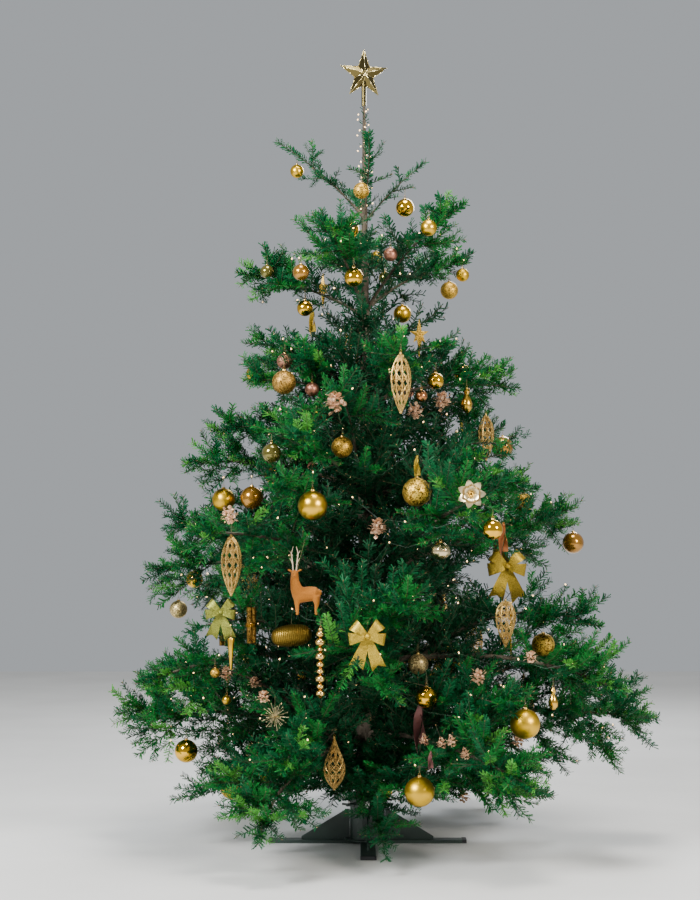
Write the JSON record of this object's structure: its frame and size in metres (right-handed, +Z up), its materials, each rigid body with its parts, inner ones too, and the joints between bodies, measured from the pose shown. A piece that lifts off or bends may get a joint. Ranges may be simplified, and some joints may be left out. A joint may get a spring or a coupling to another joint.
{
  "type": "cut fir Christmas tree in a stand",
  "caption": "Tall cut fir in a cross stand, with a trunk, whorls of boughs, foliage masses and a star on top.",
  "frame": {"origin": "centre of the stand's flat underside, on the floor", "axes": "+Z up along the trunk, -Y towards the front that the picture shows, +X to its right"},
  "size_m": [2.3832, 2.1978, 3.488],
  "materials": {
    "bark": "rough grey-brown fir bark",
    "needles": "dark glossy green needles with a paler underside",
    "stand": "dark green powder coat",
    "gold": "polished gold"
  },
  "bodies": {
    "root": {"trunk": "bark", "stand_cross": "stand", "stand_socket": "stand", "top_star": "gold", "bough_1_1": "bark", "foliage_1_1": "needles", "bough_1_2": "bark", "foliage_1_2": "needles", "bough_1_3": "bark", "foliage_1_3": "needles", "bough_1_4": "bark", "foliage_1_4": "needles", "bough_1_5": "bark", "foliage_1_5": "needles", "bough_1_6": "bark", "foliage_1_6": "needles", "bough_2_1": "bark", "foliage_2_1": "needles", "bough_2_2": "bark", "foliage_2_2": "needles", "bough_2_3": "bark", "foliage_2_3": "needles", "bough_2_4": "bark", "foliage_2_4": "needles", "bough_2_5": "bark", "foliage_2_5": "needles", "bough_3_1": "bark", "foliage_3_1": "needles", "bough_3_2": "bark", "foliage_3_2": "needles", "bough_3_3": "bark", "foliage_3_3": "needles", "bough_3_4": "bark", "foliage_3_4": "needles", "bough_3_5": "bark", "foliage_3_5": "needles", "foliage_4_1": "needles", "foliage_4_2": "needles", "foliage_4_3": "needles", "foliage_4_4": "needles", "foliage_4_5": "needles", "foliage_5_1": "needles", "foliage_5_2": "needles", "foliage_5_3": "needles", "foliage_5_4": "needles", "foliage_5_5": "needles", "bough_6_1": "bark", "foliage_6_1": "needles", "bough_6_2": "bark", "foliage_6_2": "needles", "bough_6_3": "bark", "foliage_6_3": "needles", "bough_6_4": "bark", "foliage_6_4": "needles", "bough_6_5": "bark", "foliage_6_5": "needles", "foliage_7_1": "needles", "foliage_7_2": "needles", "foliage_7_3": "needles", "foliage_7_4": "needles"}
  },
  "joints": []
}
